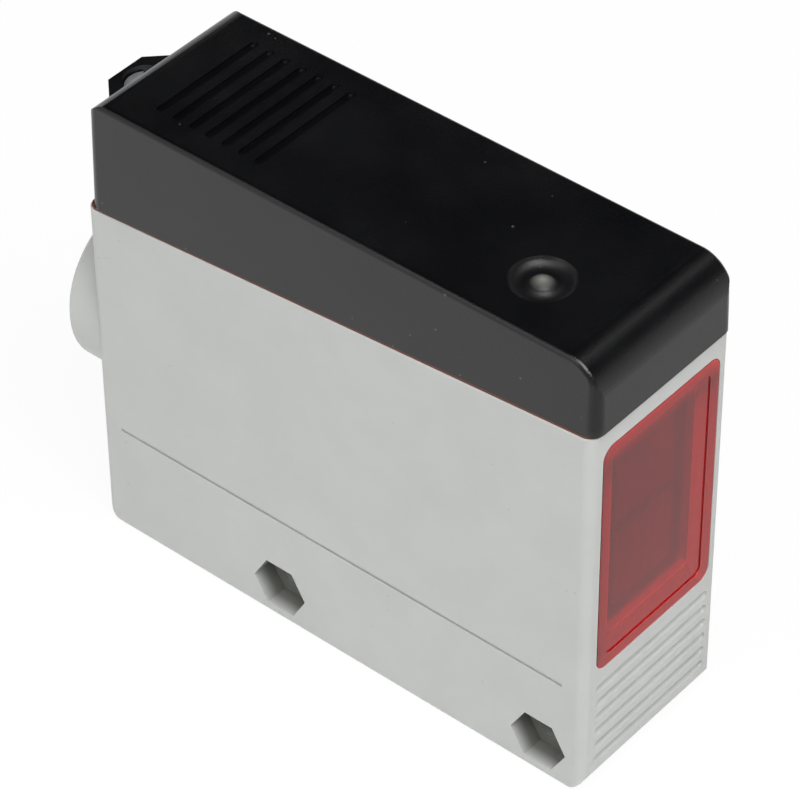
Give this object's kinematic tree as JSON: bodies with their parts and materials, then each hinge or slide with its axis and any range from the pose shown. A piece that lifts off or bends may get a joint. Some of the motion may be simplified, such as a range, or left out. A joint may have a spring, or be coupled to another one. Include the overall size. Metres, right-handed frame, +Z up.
{
  "type": "retroreflective photoelectric sensor",
  "caption": "Slim box-shaped retroreflective light sensor with a sloping dark cover, a red front window, a threaded cable entry and cross holes for mounting.",
  "frame": {"origin": "middle of the sensor's length and width, on its underside", "axes": "+X towards the window, along the sensing beam; +Z up towards the cover; Y across the slim width, with the nut pockets on the -Y side"},
  "size_m": [0.0812, 0.025, 0.0655],
  "materials": {
    "housing_grey": "light grey moulded plastic, fine matt",
    "cover_black": "black moulded plastic with a fine grain",
    "gasket": "red-brown sealing rubber",
    "steel": "zinc-plated steel",
    "red_window": "polished clear red plastic",
    "inner_black": "black matt plastic",
    "clear_lens": "polished clear plastic",
    "polariser": "grey polarising film",
    "led_red": "red clear resin",
    "led_amber": "amber clear resin",
    "board_green": "green solder resist",
    "relay_case": "off-white plastic case",
    "capacitor_sleeve": "dark blue sleeve",
    "capacitor_box": "yellow case",
    "ferrite": "dark ferrite",
    "winding": "enamelled copper on a bobbin",
    "terminal_green": "green plastic",
    "brass": "plain brass"
  },
  "bodies": {
    "root": {"housing": "housing_grey", "cover": "cover_black", "cover_gasket": "gasket", "cover_screw": "steel", "front_window": "red_window", "optics_block": "inner_black", "emitter_lens": "clear_lens", "receiver_lens": "clear_lens", "emitter_polariser": "polariser", "receiver_polariser": "polariser", "emitter_led": "led_red", "receiver_diode": "inner_black", "optics_board": "board_green", "indicator_board": "board_green", "status_led": "led_amber", "light_guide": "clear_lens", "main_board": "board_green", "relay": "relay_case", "reservoir_capacitor": "capacitor_sleeve", "film_capacitor": "capacitor_box", "transformer_core": "ferrite", "transformer_coil": "winding", "controller_chip": "inner_black", "signal_chip": "inner_black", "shield_can": "steel", "terminal_block": "terminal_green", "terminal_clamps": "brass", "terminal_screws": "steel", "link_header": "inner_black", "link_pins": "brass", "board_screws": "steel"}
  },
  "joints": []
}
